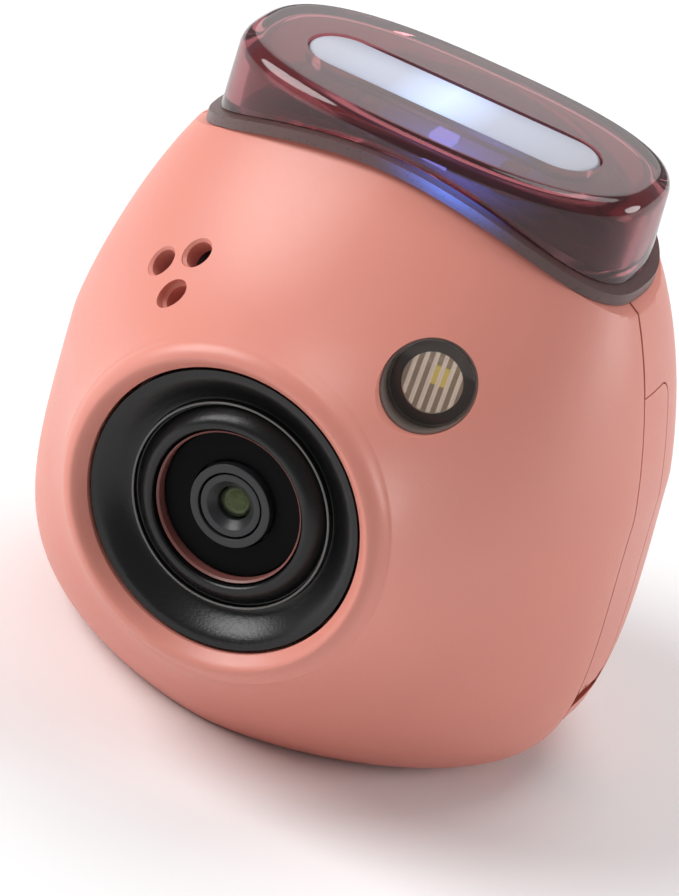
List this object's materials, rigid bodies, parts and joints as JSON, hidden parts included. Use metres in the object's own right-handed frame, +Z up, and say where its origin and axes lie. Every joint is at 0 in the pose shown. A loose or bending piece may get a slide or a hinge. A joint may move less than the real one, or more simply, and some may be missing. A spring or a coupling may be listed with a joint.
{
  "type": "palm-size digital camera",
  "caption": "Rounded palm-size digital camera with a wide lens funnel, round LED flash, translucent status-light cap, rear shutter button and a flat base with a tripod thread.",
  "frame": {"origin": "centre of the box round the camera, on the plane it stands on", "axes": "-Y is the way the lens looks, +X is to the right of someone facing the lens, +Z is up"},
  "size_m": [0.0426, 0.043, 0.0444],
  "materials": {
    "pink_shell": "satin moulded plastic",
    "smoke_cap": "clear smoky plastic",
    "frosted_deck": "frosted translucent plastic",
    "light_guide": "white diffuser",
    "black_plastic": "fine matt texture",
    "grey_plastic": "satin",
    "optical_glass": "coated",
    "flash_clear": "ribbed clear plastic",
    "reflector": "bright",
    "led_chip": "phosphor",
    "circuit_board": "solder mask",
    "chip_black": "moulded",
    "steel": "plain",
    "brass": "machined",
    "cell_foil": "foil pouch",
    "frame_plastic": "moulded",
    "wire_red": "insulation",
    "wire_black": "insulation",
    "flex_copper": "polyimide film"
  },
  "bodies": {
    "body": {"front_shell": "pink_shell", "rear_shell": "pink_shell", "cover_hinge_pin": "steel", "usb_c_socket": "steel", "card_slot": "steel", "port_board": "circuit_board", "strap_bar": "steel", "top_deck": "frosted_deck", "top_cap": "smoke_cap", "light_bar": "light_guide", "status_board": "circuit_board", "status_led_left": "light_guide", "status_led_middle": "light_guide", "status_led_right": "light_guide", "deck_screw_left": "steel", "deck_screw_right": "steel", "lens_bezel": "black_plastic", "lens_sleeve": "pink_shell", "lens_plate": "black_plastic", "lens_ring": "grey_plastic", "lens_barrel": "grey_plastic", "lens_front_element": "optical_glass", "lens_holder": "black_plastic", "sensor_window": "optical_glass", "image_sensor": "chip_black", "sensor_board": "circuit_board", "sensor_flex": "flex_copper", "flash_bezel": "black_plastic", "flash_window": "flash_clear", "flash_reflector": "reflector", "flash_led": "led_chip", "flash_board": "circuit_board", "speaker_mesh": "black_plastic", "speaker": "chip_black", "chassis": "frame_plastic", "chassis_screw_1": "steel", "chassis_screw_2": "steel", "chassis_screw_3": "steel", "chassis_screw_4": "steel", "main_board": "circuit_board", "processor": "chip_black", "memory_chip": "chip_black", "battery": "cell_foil", "battery_lead_red": "wire_red", "battery_lead_black": "wire_black", "shutter_bezel": "grey_plastic", "shutter_switch": "chip_black", "shutter_board": "circuit_board", "shutter_screw_low": "steel", "shutter_screw_high": "steel", "base_plate": "grey_plastic", "tripod_socket": "brass", "power_switch": "steel", "mode_switch": "steel", "base_board": "circuit_board"},
    "cover": {"port_cover": "pink_shell"},
    "shutter": {"shutter_button": "pink_shell"},
    "power": {"power_button": "grey_plastic"},
    "mode": {"mode_knob": "grey_plastic"}
  },
  "joints": [
    {"name": "shutter_press", "type": "slide", "parent": "body", "child": "shutter", "axis": [0, -1, 0], "range_m": [0, 0.0008], "stiffness_N_per_m": 900, "springref_m": -0.0006},
    {"name": "power_press", "type": "slide", "parent": "body", "child": "power", "axis": [0, 0, 1], "range_m": [0, 0.0005], "stiffness_N_per_m": 900, "springref_m": -0.0004},
    {"name": "mode_slide", "type": "slide", "parent": "body", "child": "mode", "axis": [1, 0, 0], "range_m": [0, 0.0024]},
    {"name": "cover_hinge", "type": "hinge", "parent": "body", "child": "cover", "pos_m": [0.02, 0.0027, 0.0076], "axis": [-0.05, 0.9988, 0], "range_deg": [0, 85]}
  ]
}
